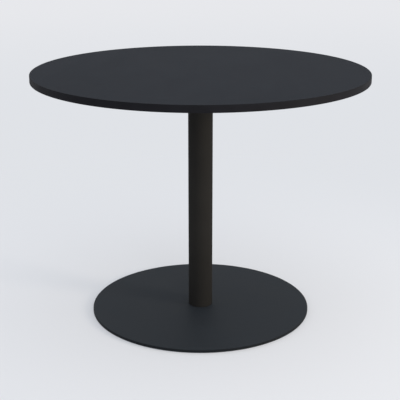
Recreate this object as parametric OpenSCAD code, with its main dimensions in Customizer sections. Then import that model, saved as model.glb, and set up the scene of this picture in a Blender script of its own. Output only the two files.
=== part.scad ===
// Round pedestal table: a laminated board top, a steel cross plate, a tube column and a flat disc base.
// The base stands on six screw-in levelling glides. Millimetres, +Z up.
// The origin is on the floor at the centre of the base.

/* [Table] */
// Height of the tabletop's upper face above the floor, with the glides screwed fully in
table_h = 740; // [680:5:1100]

/* [Tabletop] */
// Diameter of the tabletop, edge band included
top_d = 980; // [700:10:1200]
// Thickness of the board core
core_t = 18; // [16:1:30]
// Thickness of the laminate on the upper face
laminate_t = 1; // [0.6:0.1:2]
// Thickness of the balancing laminate on the underside
backing_t = 1; // [0.6:0.1:2]
// Thickness of the edge band
band_t = 2; // [1.5:0.5:5]
// Radius of the edge band's two outer edges
band_r = 1.2; // [0.5:0.1:1.4]

/* [Column] */
// Outer diameter of the column tube
tube_d = 73; // [70:0.1:101.6]
// Wall thickness of the column tube
tube_wall = 2; // [1.5:0.5:4]
// Thickness of the two screw plates welded inside the tube's ends
end_plate_t = 12; // [10:1:16]
// Depth of each screw plate inside the tube's end, which leaves room for its weld
end_recess = 2; // [1:0.1:3]
// Diameter of the circle that the column screws stand on
column_pcd = 44; // [40:1:46]
// Number of screws at each end of the column
column_screws_n = 4; // [3:1:6]

/* [Mounting plate] */
// Thickness of the cross-shaped plate between column and tabletop
cross_t = 6; // [6:1:10]
// Reach of each arm, from the column's axis to its round end
arm_reach = 230; // [180:5:320]
// Width of each arm
arm_w = 50; // [30:1:70]
// Diameter of the plate's round middle
hub_d = 150; // [110:5:200]
// Distance of the inner screw in each arm from the column's axis
inner_screw_r = 120; // [100:5:140]
// Distance of the outer screw in each arm from its round end
outer_screw_inset = 20; // [15:1:30]

/* [Base] */
// Diameter of the base plate
base_d = 665; // [500:5:800]
// Thickness of the base plate
base_t = 8; // [7:0.5:12]
// Radius of the base plate's upper outer edge
base_top_r = 1.5; // [0.5:0.1:3]
// Radius of the base plate's lower outer edge
base_low_r = 0.5; // [0.3:0.1:1]

/* [Levelling glides] */
// Number of glides, evenly spaced
glides_n = 6; // [6]
// Distance of the glides' centres from the base plate's rim
glide_inset = 35; // [25:1:60]
// Diameter of a glide's nylon pad
pad_d = 30; // [24:1:40]
// Thickness of a glide's nylon pad, which is also the gap under the base plate
pad_t = 2; // [2:0.1:4]
// Thickness of the sole under the stud's flange
sole_t = 0.8; // [0.5:0.1:1]
// Diameter of the stud's flange
flange_d = 15; // [13:0.5:18]
// Thickness of the stud's flange
flange_t = 0.8; // [0.6:0.1:1]
// Steel left between a glide's hole and the base plate's upper face
glide_skin = 1.5; // [1:0.1:2]
// Space left above a stud's tip when the glide is screwed fully in
stud_tip_gap = 1; // [0.5:0.1:1.5]
// Width across the flats of the hexagon socket in a stud
stud_socket = 4; // [3:0.5:5]
// Depth of that socket
stud_socket_depth = 3.5; // [2.5:0.5:4]

/* [Screws] */
// Thread diameter of the column screws and of the glides' studs
big_thread = 8; // [6:1:8]
// Length of a column screw, countersunk head included
column_screw_len = 20; // [18:1:22]
// Thread diameter of the screws that hold the tabletop
small_thread = 6; // [5:1:6]
// Length of a tabletop screw below its head
top_screw_len = 16; // [14:1:18]
// Outer diameter of a threaded insert
insert_d = 10; // [9:0.5:12]
// Length of a threaded insert
insert_len = 13; // [10:1:14]

/* [Hidden] */
$fn = 96;

// Clearances
thread_gap = 0.05; // radial, between a thread and the hole it is screwed into
weld_gap = 0.1;    // radial, between an end plate and the tube before it is welded
hole_gap = 0.3;    // radial, between a screw's shank and the plate it passes through
head_sink = 0.2;   // depth of a countersunk head's flat below the plate's face
lip_grip = 0.3;    // radial, by which a pad's lip reaches over the stud's flange
flange_play = 0.1; // axial, between the flange and the lip above it
cut = 1;           // how far a cutting tool runs past the face that it opens

// Heights of the faces where pieces meet, from the floor up
base_z = pad_t;
base_top = base_z + base_t;
top_z = table_h - laminate_t - core_t - backing_t;
core_z = top_z + backing_t;
core_top = core_z + core_t;
cross_z = top_z - cross_t;

// Tabletop
band_inner_d = top_d - 2 * band_t;
insert_pocket = insert_len + 1 - backing_t;

// Column
tube_bore = tube_d - 2 * tube_wall;
end_plate_d = tube_bore - 2 * weld_gap;
weld_leg = end_recess;

// Screw heads, as shares of the thread diameter that metric socket screws have
csk_head_d = 2.2 * big_thread;
csk_head_h = (csk_head_d - big_thread) / 2; // a 90 degree cone
big_socket = 0.625 * big_thread;
button_head_d = 1.75 * small_thread;
button_head_h = 0.55 * small_thread;
small_socket = 0.667 * small_thread;
washer_d = 2 * small_thread;
washer_t = 1.6;

// Glides
glide_r = base_d / 2 - glide_inset;
glide_hole_depth = base_t - glide_skin;
flange_top = sole_t + flange_t;
stud_top = base_z + glide_hole_depth - stud_tip_gap;
pocket_top = flange_top + flange_play;
pad_key_hole_d = stud_socket + 2.5;
pad_edge = 0.4;

arms_n = 4;
arm_screw_radii = [inner_screw_r, arm_reach - outer_screw_inset];

// ---- Shared shapes ----

// A round disc from z = 0 up, with its lower and upper outer edges rounded
module rounded_disc(d, t, low_r, top_r) {
    rotate_extrude() {
        square([d / 2 - max(low_r, top_r), t]);
        translate([0, low_r]) square([d / 2, t - low_r - top_r]);
        translate([d / 2 - low_r, low_r]) circle(r = low_r);
        translate([d / 2 - top_r, t - top_r]) circle(r = top_r);
        square([d / 2 - low_r, low_r]);
        translate([0, t - top_r]) square([d / 2 - top_r, top_r]);
    }
}

// Copies evenly spaced round the Z axis
module around(n, r, start = 0) {
    for (i = [0 : n - 1])
        rotate(start + i * 360 / n) translate([r, 0, 0]) children();
}

// Where the tabletop screws stand: two in each arm of the mounting plate
module at_top_screws() {
    for (r = arm_screw_radii)
        around(arms_n, r) children();
}

// Where the column screws stand
module at_column_screws() {
    around(column_screws_n, column_pcd / 2, 45) children();
}

// A countersunk socket screw set into a plate whose outer face is at z = 0, with its thread down
module countersunk_screw() {
    difference() {
        translate([0, 0, -head_sink])
            union() {
                translate([0, 0, -csk_head_h])
                    cylinder(d1 = big_thread, d2 = csk_head_d, h = csk_head_h);
                translate([0, 0, -column_screw_len])
                    cylinder(d = big_thread, h = column_screw_len - csk_head_h);
            }
        translate([0, 0, -head_sink - csk_head_h / 2])
            cylinder(d = big_socket / cos(30), h = csk_head_h, $fn = 6);
    }
}

// The hole for that screw, through a plate of thickness t: its cone meets the cone of the head
module countersunk_hole(t) {
    mouth_d = csk_head_d + 2 * head_sink;
    shank_d = big_thread + 2 * hole_gap;
    translate([0, 0, -t - cut]) cylinder(d = shank_d, h = t + 2 * cut);
    translate([0, 0, -(mouth_d - shank_d) / 2])
        cylinder(d1 = shank_d, d2 = mouth_d, h = (mouth_d - shank_d) / 2);
    cylinder(d = mouth_d, h = cut);
}

// ---- Tabletop ----

module tabletop_laminate() {
    color("#3b3e43")
        translate([0, 0, core_top]) cylinder(d = band_inner_d, h = laminate_t);
}

module tabletop_core() {
    color("#8d7a5f")
        difference() {
            translate([0, 0, core_z]) cylinder(d = band_inner_d, h = core_t);
            at_top_screws()
                translate([0, 0, core_z - cut]) cylinder(d = insert_d, h = insert_pocket + cut);
        }
}

module backing_laminate() {
    color("#2f3134")
        difference() {
            translate([0, 0, top_z]) cylinder(d = band_inner_d, h = backing_t);
            at_top_screws()
                translate([0, 0, top_z - cut]) cylinder(d = insert_d, h = backing_t + 2 * cut);
        }
}

module edge_band() {
    color("#26272a")
        translate([0, 0, top_z])
            difference() {
                rounded_disc(top_d, table_h - top_z, band_r, band_r);
                translate([0, 0, -cut])
                    cylinder(d = band_inner_d, h = table_h - top_z + 2 * cut);
            }
}

// Metal bushes screwed into the board, flush with its underside
module threaded_inserts() {
    color("#b59a4c")
        at_top_screws()
            translate([0, 0, top_z])
                difference() {
                    cylinder(d = insert_d, h = insert_len);
                    translate([0, 0, -cut])
                        cylinder(d = small_thread + 2 * thread_gap, h = insert_len + 2 * cut);
                }
}

// ---- Mounting plate and what holds the tabletop to it ----

module mounting_plate() {
    color("#2b2c2e")
        difference() {
            translate([0, 0, cross_z])
                linear_extrude(cross_t) {
                    circle(d = hub_d);
                    for (i = [0 : arms_n - 1])
                        rotate(i * 360 / arms_n) {
                            translate([0, -arm_w / 2]) square([arm_reach - arm_w / 2, arm_w]);
                            translate([arm_reach - arm_w / 2, 0]) circle(d = arm_w);
                        }
                }
            at_top_screws()
                translate([0, 0, cross_z - cut])
                    cylinder(d = small_thread + 2 * hole_gap, h = cross_t + 2 * cut);
            translate([0, 0, top_z])
                at_column_screws() countersunk_hole(cross_t);
        }
}

module mounting_washers() {
    color("silver")
        at_top_screws()
            translate([0, 0, cross_z - washer_t])
                difference() {
                    cylinder(d = washer_d, h = washer_t);
                    translate([0, 0, -cut])
                        cylinder(d = small_thread + 2 * hole_gap, h = washer_t + 2 * cut);
                }
}

// Button-head socket screws that point up into the inserts
module mounting_screws() {
    head_r = button_head_d / 2;
    dome_r = (head_r * head_r + button_head_h * button_head_h) / (2 * button_head_h);
    color("silver")
        at_top_screws()
            translate([0, 0, cross_z - washer_t]) {
                cylinder(d = small_thread, h = top_screw_len);
                difference() {
                    intersection() {
                        translate([0, 0, dome_r - button_head_h]) sphere(r = dome_r);
                        translate([0, 0, -button_head_h]) cylinder(r = head_r, h = button_head_h);
                    }
                    translate([0, 0, -1.5 * button_head_h])
                        cylinder(d = small_socket / cos(30), h = button_head_h, $fn = 6);
                }
            }
}

// ---- Column ----

module column_tube() {
    color("#26262a")
        difference() {
            translate([0, 0, base_top]) cylinder(d = tube_d, h = cross_z - base_top);
            translate([0, 0, base_top - cut])
                cylinder(d = tube_bore, h = cross_z - base_top + 2 * cut);
        }
}

// A thick disc with tapped holes, welded inside the tube
module end_plate() {
    difference() {
        cylinder(d = end_plate_d, h = end_plate_t);
        at_column_screws()
            translate([0, 0, -cut])
                cylinder(d = big_thread + 2 * thread_gap, h = end_plate_t + 2 * cut);
    }
}

// The ring of weld between the tube's bore and an end plate that lies above z = 0
module weld_ring() {
    rotate_extrude()
        polygon([
            [tube_bore / 2, 0],
            [tube_bore / 2, -weld_leg],
            [tube_bore / 2 - weld_leg, 0],
        ]);
}

module foot_plate() {
    color("dimgray")
        translate([0, 0, base_top + end_recess]) end_plate();
}

module head_plate() {
    color("dimgray")
        translate([0, 0, cross_z - end_recess - end_plate_t]) end_plate();
}

module foot_weld() {
    color("gray")
        translate([0, 0, base_top + end_recess]) weld_ring();
}

module head_weld() {
    color("gray")
        translate([0, 0, cross_z - end_recess]) mirror([0, 0, 1]) weld_ring();
}

// Screws from the mounting plate down into the head plate
module head_screws() {
    color("silver")
        translate([0, 0, top_z]) at_column_screws() countersunk_screw();
}

// Screws from under the base plate up into the foot plate
module base_screws() {
    color("silver")
        translate([0, 0, base_z]) mirror([0, 0, 1]) at_column_screws() countersunk_screw();
}

// ---- Base ----

module base_plate() {
    color("#34373a")
        difference() {
            translate([0, 0, base_z]) rounded_disc(base_d, base_t, base_low_r, base_top_r);
            translate([0, 0, base_z]) mirror([0, 0, 1]) at_column_screws() countersunk_hole(base_t);
            around(glides_n, glide_r)
                translate([0, 0, base_z - cut])
                    cylinder(d = big_thread + 2 * thread_gap, h = glide_hole_depth + cut);
        }
}

// A glide's place under the base plate, counted from 1
module at_glide(i) {
    rotate((i - 1) * 360 / glides_n) translate([glide_r, 0, 0]) children();
}

// The steel stud: its flange is captive in the pad, and a hex key turns it from below
module glide_stud(i) {
    color("silver")
        at_glide(i)
            difference() {
                union() {
                    translate([0, 0, sole_t]) cylinder(d = flange_d, h = flange_t);
                    translate([0, 0, sole_t]) cylinder(d = big_thread, h = stud_top - sole_t);
                }
                translate([0, 0, sole_t - cut])
                    cylinder(d = stud_socket / cos(30), h = stud_socket_depth + cut, $fn = 6);
            }
}

// The nylon pad: a sole with a hole for the hex key, a pocket for the flange and a lip over it
module glide_pad(i) {
    color("#1c1c1e")
        at_glide(i)
            difference() {
                union() {
                    cylinder(d1 = pad_d - 2 * pad_edge, d2 = pad_d, h = pad_edge);
                    translate([0, 0, pad_edge]) cylinder(d = pad_d, h = pad_t - pad_edge);
                }
                translate([0, 0, -cut]) cylinder(d = pad_key_hole_d, h = pad_t + 2 * cut);
                translate([0, 0, sole_t])
                    cylinder(d = flange_d + 2 * thread_gap, h = pocket_top - sole_t);
                translate([0, 0, sole_t])
                    cylinder(d = flange_d - 2 * lip_grip, h = pad_t - sole_t + cut);
            }
}

tabletop_laminate();
tabletop_core();
backing_laminate();
edge_band();
threaded_inserts();
mounting_plate();
mounting_screws();
mounting_washers();
head_screws();
head_plate();
head_weld();
column_tube();
foot_weld();
foot_plate();
base_screws();
base_plate();
for (i = [1 : glides_n]) {
    glide_stud(i);
    glide_pad(i);
}
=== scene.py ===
# %% [markdown]
# # A round pedestal table
#
# The table has four big shapes: a round top, a mounting plate under it, one tube and a flat
# disc on the floor. Nearly everything on it was turned, rolled or cut round, so nearly every
# piece here is a profile carried round an axis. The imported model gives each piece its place,
# and this file gives each piece its rounded edges, its small parts and its finish.

# %% Load the frame
import math

import bmesh
import bpy
import numpy as np
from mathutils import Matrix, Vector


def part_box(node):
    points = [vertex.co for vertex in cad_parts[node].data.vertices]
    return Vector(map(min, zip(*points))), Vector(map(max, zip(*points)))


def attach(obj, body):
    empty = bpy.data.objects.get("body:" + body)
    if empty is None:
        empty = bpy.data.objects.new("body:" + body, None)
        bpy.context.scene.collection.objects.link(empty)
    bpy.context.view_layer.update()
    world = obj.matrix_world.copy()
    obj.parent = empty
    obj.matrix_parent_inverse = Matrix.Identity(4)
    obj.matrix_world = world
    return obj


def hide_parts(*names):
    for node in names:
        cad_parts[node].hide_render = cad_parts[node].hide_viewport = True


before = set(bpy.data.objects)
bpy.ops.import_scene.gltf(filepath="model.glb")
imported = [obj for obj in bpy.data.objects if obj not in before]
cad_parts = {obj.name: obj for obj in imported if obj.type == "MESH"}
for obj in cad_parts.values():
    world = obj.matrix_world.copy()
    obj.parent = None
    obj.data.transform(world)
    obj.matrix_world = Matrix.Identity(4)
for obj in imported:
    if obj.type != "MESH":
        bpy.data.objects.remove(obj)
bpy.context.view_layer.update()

# %% [markdown]
# ## Read the sizes off the frame
#
# A maker measures before cutting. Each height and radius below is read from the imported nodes,
# so a piece made here lands exactly where its solid is. Small sizes that a bounding box can't
# tell, such as an edge's radius, are written down once where they are first needed.

# %% Heights and radii, in metres
MM = 0.001
ROUND = 384  # columns round the big discs


def span(node):
    """Lowest z, highest z and largest radius round the world's Z axis of a centred CAD node."""
    low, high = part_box(node)
    return low.z, high.z, round(max(-low.x, -low.y, high.x, high.y), 4)


laminate_z, top_z, laminate_r = span("tabletop_laminate")
band_z, _, top_r = span("edge_band")
backing_z, backing_top, _ = span("backing_laminate")
plate_z, plate_top, arm_reach = span("mounting_plate")
tube_z, tube_top, tube_r = span("column_tube")
base_z, base_top, base_r = span("base_plate")
print(f"top {2 * top_r:.3f} m across, {top_z:.3f} m high")
print(f"base {2 * base_r:.3f} m across, tube {2 * tube_r:.4f} m")

# %% [markdown]
# ## The camera
#
# The table is seen from a little over a metre high, a little under three metres away, through
# a long lens. A long lens keeps the two discs' ellipses calm: a short one would blow up the
# near rim. The lens is not shifted, so the same camera works from every other side.

# %% Camera
camera_data = bpy.data.cameras.new("camera")
camera_data.sensor_width = 36
camera_data.lens = 86.06
camera = bpy.data.objects.new("camera", camera_data)
bpy.context.collection.objects.link(camera)
camera.location = (-0.0014, -2.755, 1.215)
LOOKS_DOWN = 17.51
camera.rotation_euler = (math.radians(90 - LOOKS_DOWN), 0, 0)
bpy.context.scene.camera = camera
print("camera", tuple(round(v, 3) for v in camera.location), "lens", camera_data.lens)

# %% [markdown]
# ## From a grid of points to a skin
#
# Every new piece below is a grid: rows run along a profile and columns run round the axis.
# The work is to join neighbours into quads and to close what should be closed. A row whose
# points all meet is a pole, and merging the doubles turns its quads into a fan. One mesh can
# hold many copies, which suits eight equal screws.


# %% Grid to mesh
def skin(name, grids, rows_close=False, crease=35):
    """Joins grids of points into one mesh object.

    grids has the shape (copies, rows, columns, 3). Columns always close into a ring, and rows
    close too if rows_close is true. Each quad runs round the ring first and along the profile
    second, so a profile that goes outwards along the bottom, up the side and inwards along the
    top gives faces that point out. Edges sharper than crease degrees are kept sharp.
    """
    grids = np.asarray(grids, float)
    copies, rows, columns, _ = grids.shape
    index = np.arange(copies * rows * columns).reshape(copies, rows, columns)
    here = index if rows_close else index[:, :-1]
    above = np.roll(index, -1, axis=1) if rows_close else index[:, 1:]
    quads = np.stack([here, np.roll(here, -1, 2), np.roll(above, -1, 2), above], -1)
    mesh = bpy.data.meshes.new(name)
    mesh.from_pydata(grids.reshape(-1, 3).tolist(), [], quads.reshape(-1, 4).tolist())

    turn = np.arange(columns) / columns
    along = np.arange(rows) / max(rows - 1, 1)
    u = np.stack([turn, turn + 1 / columns, turn + 1 / columns, turn], -1)
    step = np.diff(along, append=along[-1] + along[1])[: quads.shape[1]]
    v0 = along[: quads.shape[1]]
    v = np.stack([v0, v0, v0 + step, v0 + step], -1)
    uv = np.empty(quads.shape + (2,))
    uv[..., 0] = u[None, None]
    uv[..., 1] = v[None, :, None]
    mesh.uv_layers.new(name="UVMap").data.foreach_set("uv", uv.ravel())

    work = bmesh.new()
    work.from_mesh(mesh)
    bmesh.ops.remove_doubles(work, verts=work.verts, dist=1e-7)
    work.to_mesh(mesh)
    work.free()
    mesh.shade_smooth()
    mesh.set_sharp_from_angle(angle=math.radians(crease))
    piece = bpy.data.objects.new(name, mesh)
    bpy.context.collection.objects.link(piece)
    return piece


def turned(profile, columns=48, places=((0, 0, 0),), flip=False):
    """A profile carried round the Z axis: x = r cos a, y = r sin a, z as written.

    A profile row is (radius, height) or (radius, height, 1). The third number makes that ring
    a hexagon whose flats lie at the radius: r / cos((a mod 60 degrees) - 30 degrees). places
    moves a copy to each spot, and flip turns every copy upside down by a half turn round X.
    """
    rows = np.array([tuple(row) + (0,) * (3 - len(row)) for row in profile], float)
    angle = np.linspace(0, 2 * np.pi, columns, endpoint=False)
    hexagon = 1 / np.cos(np.mod(angle, np.pi / 3) - np.pi / 6)
    radius = rows[:, :1] * np.where(rows[:, 2:] > 0, hexagon[None, :], 1)
    height = np.repeat(rows[:, 1:2], columns, 1)
    grid = np.stack([radius * np.cos(angle), radius * np.sin(angle), height], -1)
    if flip:
        grid = grid * np.array([1.0, -1.0, -1.0])
    return grid[None] + np.array(places, float)[:, None, None, :]


def rounded(centre_r, centre_z, radius, start, end, steps=6):
    """Points of a profile on an arc, from the start angle to the end angle in degrees."""
    angle = np.radians(np.linspace(start, end, steps + 1))
    return [(centre_r + radius * math.cos(a), centre_z + radius * math.sin(a)) for a in angle]


print("helpers ready: skin, turned, rounded")

# %% [markdown]
# ## Holes
#
# A plate with holes is easiest to make the way a shop makes it: cut the blank, then drill.
# The drill here is a second mesh, and a Boolean takes it away. The result is kept as plain
# mesh, so nothing is left to compute later.


# %% Drilling
def drill(blank, grids):
    """Takes the closed shapes in grids out of the blank's mesh, and keeps the result."""
    cutter = skin("drill", grids)
    cut = blank.modifiers.new("holes", "BOOLEAN")
    cut.operation = "DIFFERENCE"
    cut.solver = "EXACT"
    cut.object = cutter
    drilled = bpy.data.meshes.new_from_object(
        blank.evaluated_get(bpy.context.evaluated_depsgraph_get())
    )
    blank.modifiers.clear()
    blank.data = drilled
    drilled.set_sharp_from_angle(angle=math.radians(35))
    bpy.data.objects.remove(cutter)
    return blank


def stands_for(piece, node, body="table"):
    """The piece takes a CAD node's place: it hides it and rides on its body."""
    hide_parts(node)
    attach(piece, body)
    print(f"{piece.name}: {len(piece.data.polygons)} faces, stands for {node}")
    return piece


# %% [markdown]
# ## The laminate on top
#
# High-pressure laminate comes as a millimetre-thin sheet, glued to the board and trimmed
# flush. A disc would do, but a real trimmed sheet has a hair-fine bevel where the router ran.
# That bevel catches a thin line of light and separates the sheet from the edge band.

# %% Laminate
TRIM = 0.12 * MM
laminate = skin(
    "tabletop_surface",
    turned(
        [
            (0, laminate_z),
            (laminate_r, laminate_z),
            (laminate_r, top_z - TRIM),
            (laminate_r - TRIM, top_z),
            (laminate_r - 0.6 * MM, top_z),
            (laminate_r * 0.66, top_z),
            (laminate_r * 0.33, top_z),
            (0, top_z),
        ],
        columns=ROUND,
    ),
)
stands_for(laminate, "tabletop_laminate")

# %% [markdown]
# ## The edge band
#
# The band is a plastic strip, run round the board by an edge bander, with both outer edges
# scraped round. Its cross-section is carried round the top. The strip's two ends meet in a
# butt joint at the back, so the ring gets a groove there: a narrow dip in the radius whose
# depth falls off as a bell curve. The columns crowd together at the joint, because an even
# spacing of 8 mm would step right over a groove of a third of a millimetre.

# %% Edge band
BAND_R = 1.2 * MM
outer = top_r - BAND_R
section = np.array(
    [(laminate_r, band_z), (outer - 0.15 * MM, band_z)]
    + rounded(outer, band_z + BAND_R, BAND_R, -90, 0)
    + [(top_r, band_z + BAND_R + 0.15 * MM), (top_r, top_z - BAND_R - 0.15 * MM)]
    + rounded(outer, top_z - BAND_R, BAND_R, 0, 90)
    + [(outer - 0.15 * MM, top_z), (laminate_r + TRIM, top_z), (laminate_r, top_z - TRIM)]
)
joint_at = math.radians(97)
even = np.linspace(0, 2 * np.pi, ROUND, endpoint=False)
tight = joint_at + np.linspace(-1.2 * MM, 1.2 * MM, 17) / top_r
angle = np.sort(np.append(even[np.abs(even - joint_at) > 1.5 * MM / top_r], tight))
dip = 0.09 * MM * np.exp(-(((angle - joint_at) * top_r / (0.16 * MM)) ** 2))
ring_r = section[:, :1] - dip[None, :] * (section[:, :1] > outer)
ring_z = np.repeat(section[:, 1:2], len(angle), 1)
band = skin(
    "edge_band_strip",
    np.stack([ring_r * np.cos(angle), ring_r * np.sin(angle), ring_z], -1)[None],
    rows_close=True,
)
stands_for(band, "edge_band")

# %% [markdown]
# ## Where the screws stand
#
# Eight screws hold the top, two in each arm of the mounting plate. Four more hold each end of
# the column. These two lists of places are used by every hole, screw and washer below, so
# that they always line up.

# %% Screw places
INNER_R, OUTER_R, COLUMN_R = 120 * MM, 210 * MM, 22 * MM
quarter = np.arange(4) * np.pi / 2


def ring_of(radius, height, start=0.0):
    """Four places at a quarter turn from each other."""
    a = quarter + start
    return [(radius * math.cos(v), radius * math.sin(v), height) for v in a]


def arm_places(height):
    """The eight places in the mounting plate's arms."""
    return ring_of(INNER_R, height) + ring_of(OUTER_R, height)


def column_places(height):
    """The four places over or under the tube, halfway between the arms."""
    return ring_of(COLUMN_R, height, np.pi / 4)


print(len(arm_places(0)), "screws hold the top,", 2 * len(column_places(0)), "hold the column")

# %% [markdown]
# ## The balancing sheet underneath
#
# A board that is faced on one side only will bow, so the underside carries a plain sheet too.
# It is drilled for the threaded inserts.

# %% Balancing sheet
INSERT_R = 5 * MM
sheet = [
    (0, backing_z),
    (laminate_r * 0.5, backing_z),
    (laminate_r, backing_z),
    (laminate_r, backing_top),
    (0, backing_top),
]
backing = skin("underside_sheet", turned(sheet, ROUND))
hole = [(0, -1 * MM), (INSERT_R, -1 * MM), (INSERT_R, 3 * MM), (0, 3 * MM)]
drill(backing, turned(hole, 48, arm_places(backing_z)))
stands_for(backing, "backing_laminate")

# %% [markdown]
# ## The mounting plate
#
# A laser cuts this cross from six-millimetre plate. Its outline can be written as one radius
# for each angle, because every ray from the centre leaves the plate just once. Rays near an
# arm leave through the arm's side or its round end, and the others leave through the hub.
# The edges are broken by a small bevel, as they are before powder coating.

# %% Mounting plate
ARM_W, HUB_R = 50 * MM, 75 * MM


def cross_outline(angle, shrink=0.0):
    """Distance from the centre to the plate's edge, for each angle.

    off is the angle to the nearest arm. The arm's side is at (half width) / sin(off), its round
    end at c cos(off) + sqrt(h^2 - c^2 sin(off)^2) with the end's centre c out and radius h. The
    edge is the end where the side lies beyond that centre, else the larger of side and hub.
    """
    half = ARM_W / 2 - shrink
    centre = arm_reach - ARM_W / 2
    off = np.abs(np.mod(angle + np.pi / 4, np.pi / 2) - np.pi / 4)
    side = half / np.maximum(np.sin(off), 1e-9)
    under = np.maximum(half**2 - (centre * np.sin(off)) ** 2, 0)
    end = centre * np.cos(off) + np.sqrt(under)
    return np.where(side * np.cos(off) >= centre, end, np.maximum(side, HUB_R - shrink))


corner = math.atan2(ARM_W / 2, arm_reach - ARM_W / 2)
meet = math.asin(ARM_W / 2 / HUB_R)
one_arm = np.concatenate(
    [
        np.linspace(0, corner, 20),
        np.linspace(corner, meet, 14)[1:],
        np.linspace(meet, np.pi / 4, 14)[1:],
    ]
)
half_turn = np.concatenate([one_arm, np.pi / 2 - one_arm[::-1][1:-1]])
cross_angle = (half_turn[None, :] + quarter[:, None]).ravel()
BREAK = 0.5 * MM
levels = [
    (None, plate_z),
    (BREAK, plate_z),
    (0.0, plate_z + BREAK),
    (0.0, plate_top - BREAK),
    (BREAK, plate_top),
    (None, plate_top),
]
reach = np.stack(
    [cross_angle * 0 if s is None else cross_outline(cross_angle, s) for s, _ in levels]
)
level_z = np.repeat(np.array([[z] for _, z in levels]), len(cross_angle), 1)
plate = skin(
    "mounting_cross",
    np.stack([reach * np.cos(cross_angle), reach * np.sin(cross_angle), level_z], -1)[None],
    crease=25,
)
SINK, HEAD_R, SHANK_R, SMALL_HOLE_R = 0.2 * MM, 8.8 * MM, 4.3 * MM, 3.3 * MM
through = [(0, -1 * MM), (SMALL_HOLE_R, -1 * MM), (SMALL_HOLE_R, 7 * MM), (0, 7 * MM)]
drill(plate, turned(through, 48, arm_places(plate_z)))
countersink = [
    (0, -9 * MM),
    (SHANK_R, -9 * MM),
    (SHANK_R, SHANK_R - HEAD_R - SINK),
    (HEAD_R + SINK, 0),
    (HEAD_R + SINK, 1 * MM),
    (0, 1 * MM),
]
drill(plate, turned(countersink, 48, column_places(plate_top)))
stands_for(plate, "mounting_plate")

# %% [markdown]
# ## Washers
#
# A stamped washer is rounded on the side where the punch went in and sharp on the other. Its
# cross-section is a closed loop, so rows close as well as columns.

# %% Washers
washer_t = 1.6 * MM
washer = (
    [(SMALL_HOLE_R, 0.1 * MM), (SMALL_HOLE_R + 0.1 * MM, 0), (5.6 * MM, 0)]
    + rounded(5.65 * MM, 0.35 * MM, 0.35 * MM, -90, 0, 4)
    + [(6 * MM, washer_t - 0.05 * MM), (5.95 * MM, washer_t), (SMALL_HOLE_R, washer_t)]
)
washers = skin("top_washers", turned(washer, 48, arm_places(plate_z - washer_t)), rows_close=True)
stands_for(washers, "mounting_washers")

# %% [markdown]
# ## Screws with a hexagon socket
#
# A socket screw is turned and then punched, so its outside is round and its socket is not.
# One profile can still make both: the rings inside the head are marked as hexagons. The
# shank's thread is a helix. Its radius rises and falls as a triangle wave in
# (height / pitch - angle / full turn), which is what a thread-cutting tool leaves behind.

# %% Threaded profile
SMALL_R, SMALL_PITCH = 3 * MM, 1 * MM
BIG_R, BIG_PITCH = 4 * MM, 1.25 * MM


def threaded(profile, start, end, pitch, crest, places, columns=48, flip=False, lead=0.6 * MM):
    """A turned part whose stretch from height start to end carries a thread.

    On that stretch r = crest - depth |2 frac(z / pitch - a / 2 pi) - 1|, with the depth fading
    to a plain chamfered end over the lead. The other rows stay as the profile gives them.
    """
    count = max(int(abs(end - start) / pitch * 8), 8)
    z = np.linspace(start, end, count + 1)
    way = np.sign(end - start)
    before = [row for row in profile if row[1] * way <= start * way + 1e-9]
    after = profile[len(before):]
    rows = before + [(crest, v) for v in z] + after
    grid = turned(rows, columns, ((0, 0, 0),))[0]
    a = np.linspace(0, 2 * np.pi, columns, endpoint=False)
    band = slice(len(before), len(before) + len(z))
    wave = np.abs(2 * np.mod(z[:, None] / pitch - a[None, :] / (2 * np.pi), 1) - 1)
    fade = np.clip(np.abs(z - start) / lead, 0, 1)[:, None]
    chamfer = 0.55 * pitch * np.clip(1 - np.abs(end - z) / lead, 0, 1)[:, None]
    r = crest - 0.54 * pitch * wave * fade * (1 - chamfer / (0.55 * pitch)) - chamfer
    grid[band, :, 0] = r * np.cos(a)
    grid[band, :, 1] = r * np.sin(a)
    if flip:
        grid = grid * np.array([1.0, -1.0, -1.0])
    return grid[None] + np.array(places, float)[:, None, None, :]


# %% [markdown]
# ## Button-head screws
#
# These point up into the inserts, and their low domed heads are all that shows of them under
# the top.

# %% Button-head screws
DOME_R, DOME_H, KEY_R = 5.25 * MM, 3.3 * MM, 2 * MM
dome = (DOME_R**2 + DOME_H**2) / (2 * DOME_H)
rise = math.degrees(math.asin(DOME_R / dome))
arc = rounded(0, dome - DOME_H, dome, -90 + math.degrees(math.asin(2.6 * MM / dome)), -90 + rise, 8)
BUTTON_LEN = 16 * MM
button = (
    [(0, -1.6 * MM), (KEY_R * 0.98, -1.75 * MM, 1), (KEY_R, -1.9 * MM, 1)]
    + [(KEY_R, -DOME_H + 0.5 * MM, 1), (2.45 * MM, -DOME_H + 0.05 * MM)]
    + arc
    + [(DOME_R, 0), (SMALL_R, 0), (0, BUTTON_LEN)]
)
button_places = arm_places(plate_z - washer_t)
mounting_screws = skin(
    "top_screws",
    threaded(button, 0.8 * MM, BUTTON_LEN, SMALL_PITCH, SMALL_R, button_places, 36),
)
stands_for(mounting_screws, "mounting_screws")

# %% [markdown]
# ## Countersunk screws
#
# The same screw holds both ends of the column: down through the mounting plate, and up
# through the base. Its head is a right-angled cone with its face a hair below the plate.

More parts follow.
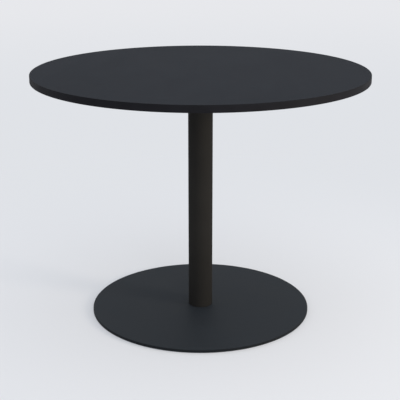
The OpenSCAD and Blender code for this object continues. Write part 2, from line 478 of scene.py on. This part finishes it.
# %% Countersunk screws
CONE, CSK_LEN = HEAD_R - BIG_R, 20 * MM
csk = [
    (0, 2.6 * MM),
    (2.45 * MM, 2.4 * MM, 1),
    (2.5 * MM, 2.2 * MM, 1),
    (2.5 * MM, 0.15 * MM, 1),
    (3.05 * MM, 0),
    (HEAD_R - 0.3 * MM, 0),
    (HEAD_R, 0.15 * MM),
    (HEAD_R, 0.3 * MM),
    (BIG_R, CONE),
    (0, CSK_LEN),
]
head_places = column_places(plate_top - SINK)
foot_places = column_places(base_z + SINK)
lower_screws = skin(
    "base_socket_screws", threaded(csk, CONE, CSK_LEN, BIG_PITCH, BIG_R, foot_places, 36)
)
stands_for(lower_screws, "base_screws")
upper_screws = skin(
    "column_socket_screws",
    threaded(csk, CONE, CSK_LEN, BIG_PITCH, BIG_R, head_places, 36, flip=True),
)
stands_for(upper_screws, "head_screws")

# %% [markdown]
# ## The column
#
# The column is stock steel tube, sawn square, with its outer edge broken before coating. That
# tiny edge is what draws the fine dark line where the tube meets the base. Rings at even
# heights keep the long wall's faces from becoming slivers.

# %% Column
TUBE_WALL, SAW_BREAK = 2 * MM, 0.4 * MM
bore = tube_r - TUBE_WALL
wall_z = np.linspace(tube_z + 1.2 * MM, tube_top - 1.2 * MM, 12)
tube = (
    [(bore, tube_z + 0.1 * MM), (bore + 0.1 * MM, tube_z), (tube_r - SAW_BREAK, tube_z)]
    + rounded(tube_r - SAW_BREAK, tube_z + SAW_BREAK, SAW_BREAK, -80, 0, 4)
    + [(tube_r, z) for z in wall_z]
    + rounded(tube_r - SAW_BREAK, tube_top - SAW_BREAK, SAW_BREAK, 0, 90, 4)
    + [(bore, tube_top)]
    + [(bore, z) for z in wall_z[::-1]]
)
column = skin("column_post", turned(tube, 128), rows_close=True)
stands_for(column, "column_tube")

# %% [markdown]
# ## The base
#
# The base is one disc of eight-millimetre plate. Its upper edge is rounded more than its
# lower one, because shoes meet it and the coating must not thin out there. It is drilled from
# below only: four countersunk holes for the column, six blind tapped holes for the glides.

# %% Base
TOP_EDGE, LOW_EDGE = 1.5 * MM, 0.5 * MM
disc = (
    [(0, base_z), (base_r * 0.5, base_z), (base_r - LOW_EDGE - 0.3 * MM, base_z)]
    + rounded(base_r - LOW_EDGE, base_z + LOW_EDGE, LOW_EDGE, -90, 0, 4)
    + rounded(base_r - TOP_EDGE, base_top - TOP_EDGE, TOP_EDGE, 0, 90, 8)
    + [(base_r - TOP_EDGE - 0.4 * MM, base_top), (base_r * 0.66, base_top)]
    + [(base_r * 0.33, base_top), (0, base_top)]
)
base = skin("base_disc", turned(disc, ROUND))
drill(base, turned(countersink, 48, column_places(base_z), flip=True))
glide_low, glide_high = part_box("glide_pad_1")
GLIDES, GLIDE_R = 6, (glide_low.x + glide_high.x) / 2
glide_angle = np.arange(GLIDES) * 2 * np.pi / GLIDES
glide_xy = np.stack(
    [GLIDE_R * np.cos(glide_angle), GLIDE_R * np.sin(glide_angle), np.zeros(GLIDES)], 1
)
TAPPED_R, TAPPED_DEPTH, MOUTH = 4.05 * MM, 6.5 * MM, 0.4 * MM
blind = [
    (0, -1 * MM),
    (TAPPED_R + MOUTH, -1 * MM),
    (TAPPED_R + MOUTH, 0),
    (TAPPED_R, MOUTH),
    (TAPPED_R, TAPPED_DEPTH),
    (0, TAPPED_DEPTH),
]
drill(base, turned(blind, 48, glide_xy + [0, 0, base_z]))
stands_for(base, "base_plate")

# %% [markdown]
# ## The glides
#
# Six glides carry the table. Each has a steel stud with a flange, and a nylon pad that the
# flange snaps into. A hex key through the hole in the pad turns the stud, and the pad sinks
# or rises by 1.25 mm for every turn. The studs and the pads ride on bodies of their own, so
# each glide moves by itself.

# %% Glide studs and pads
SOLE, FLANGE_R, FLANGE_T = 0.8 * MM, 7.5 * MM, 0.8 * MM
STUD_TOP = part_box("glide_stud_1")[1].z
flange_top = SOLE + FLANGE_T
stud = [
    (0, SOLE + 3.2 * MM),
    (1.9 * MM, SOLE + 3.4 * MM, 1),
    (2 * MM, SOLE + 3.3 * MM, 1),
    (2 * MM, SOLE + 0.1 * MM, 1),
    (2.5 * MM, SOLE),
    (FLANGE_R - 0.15 * MM, SOLE),
    (FLANGE_R, SOLE + 0.15 * MM),
    (FLANGE_R, flange_top - 0.15 * MM),
    (FLANGE_R - 0.15 * MM, flange_top),
    (BIG_R, flange_top),
    (0, STUD_TOP),
]
PAD_R, PAD_T, LIP_R, EDGE, KEY_HOLE_R = 15 * MM, 2 * MM, 7.2 * MM, 0.4 * MM, 3.25 * MM
POCKET_R, pocket_top = FLANGE_R + 0.05 * MM, flange_top + 0.1 * MM
pad = (
    [(KEY_HOLE_R, 0.15 * MM), (KEY_HOLE_R + 0.15 * MM, 0), (8 * MM, 0)]
    + [(PAD_R - EDGE - 0.2 * MM, 0)]
    + [(PAD_R - 0.1 * MM, EDGE - 0.06 * MM), (PAD_R, EDGE + 0.1 * MM), (PAD_R, PAD_T - 0.35 * MM)]
    + rounded(PAD_R - 0.3 * MM, PAD_T - 0.3 * MM, 0.3 * MM, 0, 90, 4)
    + [(LIP_R, PAD_T), (LIP_R, pocket_top), (POCKET_R, pocket_top)]
    + [(POCKET_R, SOLE), (KEY_HOLE_R, SOLE)]
)
studs, pads = [], []
for number, spot in enumerate(glide_xy, 1):
    stud_node, pad_node = f"glide_stud_{number}", f"glide_pad_{number}"
    thread = threaded(stud, flange_top, STUD_TOP, BIG_PITCH, BIG_R, (spot,), 36)
    bolt = skin(f"glide_bolt_{number}", thread)
    studs.append(stands_for(bolt, stud_node, stud_node))
    foot = skin(f"glide_sole_{number}", turned(pad, 72, (spot,)), rows_close=True)
    pads.append(stands_for(foot, pad_node, pad_node))

# %% [markdown]
# ## A small kit for finishes
#
# Every finish below is built from the same few moves: noise at a real size, a soft step
# between two values, a blend of two colours, and a bump with a height in metres. Object
# coordinates are in metres too, so one over the size of a grain gives the noise its scale.


# %% Finish kit
class Finish:
    """One material: a Principled shader and the few moves that this file's finishes share."""

    def __init__(self, name, colour, roughness, metallic=0.0, level=0.5):
        self.material = bpy.data.materials.new(name)
        self.material.use_nodes = True
        self.nodes = self.material.node_tree.nodes
        self.links = self.material.node_tree.links
        self.shader = self.nodes["Principled BSDF"]
        self.shader.inputs["Base Color"].default_value = (*colour, 1)
        self.shader.inputs["Roughness"].default_value = roughness
        self.shader.inputs["Metallic"].default_value = metallic
        self.shader.inputs["Specular IOR Level"].default_value = level
        self.place = self.nodes.new("ShaderNodeTexCoord").outputs["Object"]
        self.height = None

    def stretch(self, x, y, z):
        """Object coordinates with each axis stretched, for grain that runs one way."""
        node = self.nodes.new("ShaderNodeMapping")
        node.inputs["Scale"].default_value = (x, y, z)
        self.links.new(self.place, node.inputs["Vector"])
        return node.outputs["Vector"]

    def noise(self, size, detail=2.0, place=None, warp=0.0):
        """Soft noise from 0 to 1, with features of about the given size in metres."""
        node = self.nodes.new("ShaderNodeTexNoise")
        node.inputs["Scale"].default_value = 1 / size
        node.inputs["Detail"].default_value = detail
        node.inputs["Distortion"].default_value = warp
        self.links.new(place or self.place, node.inputs["Vector"])
        return node.outputs["Fac"]

    def cells(self, size, place=None):
        """Voronoi cells: the distance to the nearest seed, and each cell's own random colour."""
        node = self.nodes.new("ShaderNodeTexVoronoi")
        node.inputs["Scale"].default_value = 1 / size
        self.links.new(place or self.place, node.inputs["Vector"])
        return node.outputs

    def step(self, value, start, end, low=0.0, high=1.0):
        """Maps start..end to low..high, smoothly, and holds the ends."""
        node = self.nodes.new("ShaderNodeMapRange")
        node.interpolation_type = "SMOOTHSTEP"
        keys = ("From Min", "From Max", "To Min", "To Max")
        for key, number in zip(keys, (start, end, low, high)):
            node.inputs[key].default_value = number
        self.links.new(value, node.inputs["Value"])
        return node.outputs["Result"]

    def math(self, operation, a, b):
        """Two values, or a value and a number, put together."""
        node = self.nodes.new("ShaderNodeMath")
        node.operation = operation
        for slot, item in zip(node.inputs, (a, b)):
            if isinstance(item, (int, float)):
                slot.default_value = item
            else:
                self.links.new(item, slot)
        return node.outputs[0]

    def height_above(self):
        """Height above the origin."""
        split = self.nodes.new("ShaderNodeSeparateXYZ")
        self.links.new(self.place, split.inputs[0])
        return split.outputs[2]

    def from_axis(self):
        """Distance from the Z axis: the square root of x^2 + y^2."""
        split = self.nodes.new("ShaderNodeSeparateXYZ")
        self.links.new(self.place, split.inputs[0])
        x_squared = self.math("POWER", split.outputs[0], 2.0)
        y_squared = self.math("POWER", split.outputs[1], 2.0)
        return self.math("SQRT", self.math("ADD", x_squared, y_squared), 0.0)

    def blend(self, factor, a, b):
        """A colour between a and b. Each is three numbers or an earlier blend."""
        node = self.nodes.new("ShaderNodeMix")
        node.data_type = "RGBA"
        self.links.new(factor, node.inputs["Factor"])
        sockets = [s for s in node.inputs if s.type == "RGBA"]
        for slot, item in zip(sockets, (a, b)):
            if isinstance(item, tuple):
                slot.default_value = (*item, 1)
            else:
                self.links.new(item, slot)
        return [s for s in node.outputs if s.type == "RGBA"][0]

    def colour(self, socket):
        """Drives the base colour."""
        self.links.new(socket, self.shader.inputs["Base Color"])

    def roughness(self, socket):
        """Drives the roughness."""
        self.links.new(socket, self.shader.inputs["Roughness"])

    def bump(self, value, depth, strength=1.0):
        """Adds a relief of the given depth in metres on top of the earlier ones."""
        node = self.nodes.new("ShaderNodeBump")
        node.inputs["Strength"].default_value = strength
        node.inputs["Distance"].default_value = depth
        self.links.new(value, node.inputs["Height"])
        if self.height is not None:
            self.links.new(self.height, node.inputs["Normal"])
        self.height = node.outputs["Normal"]
        self.links.new(self.height, self.shader.inputs["Normal"])

    def on(self, *objects):
        """Makes this the only material of each object."""
        for item in objects:
            item.data.materials.clear()
            item.data.materials.append(self.material)
        print(self.material.name, "on", ", ".join(o.name for o in objects))


def shade(colour, factor):
    """A colour made lighter or darker by a factor."""
    return tuple(min(c * factor, 1.0) for c in colour)


# %% [markdown]
# ## Finish: charcoal laminate
#
# A super-matt laminate takes its feel from the press plate: a relief far finer than a
# millimetre, with a very soft cloudiness over a hand's width. It is nearly black, and most of
# what the eye sees on it is a broad, weak sheen. A few faint wipe marks change the roughness
# and leave the colour alone, as they do on a table that is used.

# %% Laminate finish
CHARCOAL = (0.0145, 0.017, 0.0225)
f = Finish("charcoal laminate", CHARCOAL, 0.78, level=0.1)
cloud = f.noise(0.16, 3)
grain = f.noise(0.0009, 3)
pores = f.cells(0.0022)["Distance"]
fleck = f.step(f.noise(0.0035, 2), 0.55, 0.75)
mottled = f.blend(f.step(cloud, 0.3, 0.7), shade(CHARCOAL, 0.97), shade(CHARCOAL, 1.03))
f.colour(f.blend(f.math("MULTIPLY", fleck, 0.35), mottled, shade(CHARCOAL, 1.25)))
wipes = f.noise(0.09, 2, f.stretch(1.0, 0.28, 1.0), warp=0.6)
fine = f.step(grain, 0.3, 0.7, -0.03, 0.03)
f.roughness(f.math("ADD", f.step(wipes, 0.35, 0.7, 0.77, 0.79), fine))
f.bump(pores, 0.00002, 0.35)
f.bump(grain, 0.000035, 0.5)
f.on(laminate)

# %% [markdown]
# ## Finish: edge plastic
#
# The strip is extruded, then scraped and buffed, so it has long fine lines that run round the
# table and a shine that varies in slow waves. The UV map follows the strip: u runs along it
# and v across it. Stretching the noise many times along u draws the scraper's lines.

# %% Edge plastic finish
INK = (0.0088, 0.0088, 0.0108)
f = Finish("edge plastic", INK, 0.6, level=0.06)
uv = f.nodes.new("ShaderNodeUVMap")
uv.uv_map = "UVMap"
along = f.nodes.new("ShaderNodeMapping")
along.inputs["Scale"].default_value = (6, 260, 1)
f.links.new(uv.outputs["UV"], along.inputs["Vector"])
lines = f.noise(1.0, 3, along.outputs["Vector"])
waves = f.noise(0.05, 2)
speck = f.noise(0.0006, 2)
f.colour(f.blend(f.step(waves, 0.3, 0.7), shade(INK, 0.9), shade(INK, 1.15)))
scraped = f.step(lines, 0.3, 0.7, -0.03, 0.03)
f.roughness(f.math("ADD", f.step(waves, 0.3, 0.7, 0.56, 0.64), scraped))
f.bump(lines, 0.00002, 0.4)
f.bump(speck, 0.00002, 0.4)
f.on(band)

# %% [markdown]
# ## Finish: balancing sheet
#
# The sheet underneath is the plainest there is: dull, a little lighter than the top, with the
# faint crossed fibres of its paper core.

# %% Balancing sheet finish
f = Finish("balancing sheet", (0.022, 0.0225, 0.0245), 0.62, level=0.3)
fibre_x = f.noise(0.004, 3, f.stretch(0.12, 1.0, 1.0))
fibre_y = f.noise(0.004, 3, f.stretch(1.0, 0.12, 1.0))
fibres = f.math("MULTIPLY", fibre_x, fibre_y)
f.colour(f.blend(f.step(fibres, 0.15, 0.35), (0.019, 0.0195, 0.021), (0.027, 0.0275, 0.029)))
f.roughness(f.step(fibres, 0.15, 0.35, 0.58, 0.68))
f.bump(fibres, 0.00004, 0.5)
f.on(backing)

# %% [markdown]
# ## Finish: powder coat
#
# Powder coat is sprayed dry and melted in an oven. It never lies quite flat: there is a
# shallow orange peel a few millimetres across, and on a structured coat a fine sand over it.
# The base has the structured kind, in charcoal, and the tube a smoother, darker one. The
# disc's side wall is painted much darker than the rest of the coat: that is painted shade on
# the narrow wall. The edge is found by its distance from the axis, which is exact and travels
# with the model.


# %% Powder coat
def powder_coat(name, colour, rough, level, sand, peel, edge_r=None):
    """A powder coat with orange peel of the given depth and a sand of the given depth."""
    f = Finish(name, colour, rough, level=level)
    slow = f.noise(0.11, 2)
    orange = f.noise(0.0032, 1)
    fine = f.noise(0.0007, 3)
    spots = f.step(f.noise(0.0013, 2), 0.62, 0.72)
    tone = f.blend(f.step(slow, 0.3, 0.7), shade(colour, 0.94), shade(colour, 1.06))
    tone = f.blend(f.math("MULTIPLY", spots, 0.3), tone, shade(colour, 1.5))
    if edge_r is not None:
        # Painted shade: the side wall at edge_r is darkened to stand in for the shade that falls on
        # it.
        painted_wall_shade = f.step(f.from_axis(), edge_r - 1.6 * MM, edge_r - 0.3 * MM, 0.0, 0.95)
        tone = f.blend(painted_wall_shade, tone, shade(colour, 0.3))
    f.colour(tone)
    wide = f.step(slow, 0.3, 0.7, rough - 0.025, rough + 0.025)
    f.roughness(f.math("ADD", wide, f.step(fine, 0.3, 0.7, -0.03, 0.03)))
    f.bump(orange, peel, 0.5)
    f.bump(fine, sand, 0.6)
    return f


SLATE = (0.021, 0.0252, 0.0306)
SOOT = (0.018, 0.017, 0.0157)
powder_coat("structured coat, charcoal", SLATE, 0.64, 0.1, 0.00005, 0.00005, base_r).on(base)
powder_coat("smooth coat, near black", SOOT, 0.68, 0.04, 0.000012, 0.00003).on(column)
powder_coat("coat on the cross", shade(SOOT, 0.8), 0.58, 0.35, 0.00004, 0.00004).on(plate)

# %% [markdown]
# ## Finish: zinc-plated steel
#
# Bright zinc is metal with a thin, clear film on it. The film shifts the colour very slightly
# from blue to straw in patches, and handling dulls the shine here and there.

# %% Zinc finish
f = Finish("bright zinc", (0.62, 0.64, 0.66), 0.3, metallic=1.0)
patches = f.noise(0.003, 2)
scratch = f.noise(0.0004, 3, f.stretch(1, 1, 0.2))
f.colour(f.blend(f.step(patches, 0.35, 0.65), (0.56, 0.6, 0.66), (0.68, 0.66, 0.6)))
f.roughness(f.step(scratch, 0.3, 0.7, 0.24, 0.4))
f.bump(scratch, 0.000006, 0.4)
f.on(washers, mounting_screws, lower_screws, upper_screws, *studs)

# %% [markdown]
# ## Finish: moulded nylon
#
# The pads are black nylon out of a spark-eroded mould, so they are evenly matt. Their soles
# are rubbed a shade paler and rougher by the floor. Height picks out the sole.

# %% Nylon finish
NYLON = (0.016, 0.016, 0.017)
f = Finish("black nylon", NYLON, 0.5, level=0.4)
sole = f.step(f.height_above(), 0.4 * MM, 0.1 * MM)
scuffs = f.noise(0.0015, 4, f.stretch(0.3, 1, 1))
worn = f.math("MULTIPLY", sole, f.step(scuffs, 0.4, 0.6))
f.colour(f.blend(worn, NYLON, (0.06, 0.059, 0.056)))
matt = f.step(f.noise(0.0005), 0.3, 0.7, 0.46, 0.54)
f.roughness(f.math("ADD", f.math("MULTIPLY", worn, 0.2), matt))
f.bump(f.noise(0.0004, 2), 0.00002, 0.6)
f.on(*pads)

# %% [markdown]
# ## Finishes for what is out of sight
#
# The board, the inserts, the end plates and their welds are sealed in, but whoever takes the
# table apart will see them. Each keeps its CAD shape and gets the finish it would really have:
# pressed wood chips, machined brass, rolled steel with mill scale, and a rippled bead.

# %% Board finish
f = Finish("particle board", (0.42, 0.31, 0.19), 0.85, level=0.2)
chips = f.cells(0.004, f.stretch(0.5, 1.0, 1.6))
tone = f.nodes.new("ShaderNodeSeparateColor")
f.links.new(chips["Color"], tone.inputs[0])
f.colour(f.blend(tone.outputs[0], (0.3, 0.2, 0.11), (0.52, 0.4, 0.26)))
f.roughness(f.step(tone.outputs[1], 0.0, 1.0, 0.78, 0.92))
f.bump(chips["Distance"], 0.0004, 0.6)
f.on(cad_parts["tabletop_core"])

# %% Brass finish
f = Finish("machined brass", (0.78, 0.6, 0.3), 0.32, metallic=1.0)
rings = f.noise(0.0006, 2, f.stretch(0.1, 0.1, 1))
f.colour(f.blend(f.step(f.noise(0.002), 0.3, 0.7), (0.7, 0.52, 0.26), (0.82, 0.66, 0.36)))
f.roughness(f.step(rings, 0.3, 0.7, 0.26, 0.42))
f.bump(rings, 0.00002, 0.5)
f.on(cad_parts["threaded_inserts"])

# %% Rolled steel finish
f = Finish("rolled steel", (0.4, 0.4, 0.4), 0.45, metallic=1.0)
scale = f.noise(0.006, 4)
f.colour(f.blend(f.step(scale, 0.45, 0.6), (0.42, 0.42, 0.42), (0.16, 0.165, 0.18)))
f.roughness(f.step(scale, 0.4, 0.65, 0.35, 0.6))
f.bump(scale, 0.00004, 0.5)
f.on(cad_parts["head_plate"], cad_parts["foot_plate"])

# %% Weld finish
f = Finish("weld bead", (0.36, 0.36, 0.37), 0.38, metallic=1.0)
heat = f.noise(0.008, 3)
f.colour(f.blend(f.step(heat, 0.35, 0.65), (0.33, 0.35, 0.42), (0.45, 0.36, 0.24)))
f.roughness(f.step(f.noise(0.002, 3), 0.3, 0.7, 0.3, 0.5))
f.bump(f.cells(0.0018)["Distance"], 0.0003, 0.7)
f.on(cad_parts["head_weld"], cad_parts["foot_weld"])

# %% [markdown]
# ## The floor
#
# The floor is one wide, pale, matt plane. Close to the table it is lit like anything else, so
# it keeps the table's soft shadow. Farther out the lamps fall off and a real floor would go
# grey, so there it fades into an even pale tone that only the camera and reflections see. A
# share of that tone is in the floor near the table too, which keeps the shadow light. Its
# underside is clear, like a glass stage, and light that meets it within five centimetres
# passes too, so the base and the glides can be looked at from below and are not black there.
# It lies a tenth of a millimetre under the soles, because two faces in exactly the same place
# would fight.

# %% Floor
bpy.ops.mesh.primitive_plane_add(size=80)
floor = bpy.context.object
floor.name = "floor"
floor.location.z = -0.1 * MM
PALE, BRIGHT = (0.745, 0.765, 0.802), (0.8, 0.808, 0.838)
NEAR_SHARE, PASSES_WITHIN = 0.35, 0.05
f = Finish("pale floor", (0.816, 0.821, 0.846), 0.9, level=0.1)
away = f.from_axis()
far = f.step(away, 0.3, 1.8, NEAR_SHARE, 1.0)
path = f.nodes.new("ShaderNodeLightPath").outputs
seen = f.math("MAXIMUM", path["Is Camera Ray"], path["Is Glossy Ray"])
seen = f.math("MAXIMUM", seen, path["Is Transmission Ray"])
glow = f.nodes.new("ShaderNodeEmission")
f.links.new(f.blend(f.step(away, 2.5, 9.0), PALE, BRIGHT), glow.inputs["Color"])
mix = f.nodes.new("ShaderNodeMixShader")
f.links.new(f.math("MULTIPLY", far, seen), mix.inputs[0])
f.links.new(f.shader.outputs[0], mix.inputs[1])
f.links.new(glow.outputs[0], mix.inputs[2])
side = f.nodes.new("ShaderNodeNewGeometry")
one_way = f.nodes.new("ShaderNodeMixShader")
near = f.math("LESS_THAN", path["Ray Length"], PASSES_WITHIN)
f.links.new(f.math("MAXIMUM", side.outputs["Backfacing"], near), one_way.inputs[0])
f.links.new(mix.outputs[0], one_way.inputs[1])
f.links.new(f.nodes.new("ShaderNodeBsdfTransparent").outputs[0], one_way.inputs[2])
f.links.new(one_way.outputs[0], f.nodes["Material Output"].inputs["Surface"])
f.on(floor)

# %% [markdown]
# ## The light
#
# A studio lights a dark, matt table with large soft sources, so that no edge is lost and no
# highlight burns. Here a pale, slightly cool world does most of the work from everywhere,
# which is what keeps the shadow on the floor faint. Two panels only shape what it lights. A
# weak, wide one in front lifts the faces turned to the viewer. A warm one low on the right
# models the tube, whose left side stays darker, and makes the shadow lean to the left.


# %% World and lamps
def panel(name, place, aim, size, power, colour):
    """A square area lamp at a place, turned towards an aim point."""
    data = bpy.data.lights.new(name, "AREA")
    data.shape = "SQUARE"
    data.size = size
    data.energy = power
    data.color = colour
    lamp = bpy.data.objects.new(name, data)
    bpy.context.collection.objects.link(lamp)
    back = np.array(place, float) - np.array(aim, float)
    flat = math.hypot(back[0], back[1])
    lamp.location = place
    lamp.rotation_euler = (math.atan2(flat, back[2]), 0, math.atan2(back[0], -back[1]))
    print(name, f"{power} W over {size} m")


world = bpy.data.worlds.new("studio")
bpy.context.scene.world = world
world.use_nodes = True
sky = world.node_tree.nodes["Background"]
sky.inputs["Color"].default_value = (0.915, 0.95, 1.0, 1)
sky.inputs["Strength"].default_value = 0.9
panel("front key", (0.8, -3.8, 2.6), (0, 0, 0.3), 2.0, 34, (1.0, 0.985, 0.97))
panel("warm side", (4.3, -1.9, 1.4), (0, 0, 0.35), 1.2, 130, (1.0, 0.88, 0.72))
bpy.context.scene.view_settings.view_transform = "Standard"
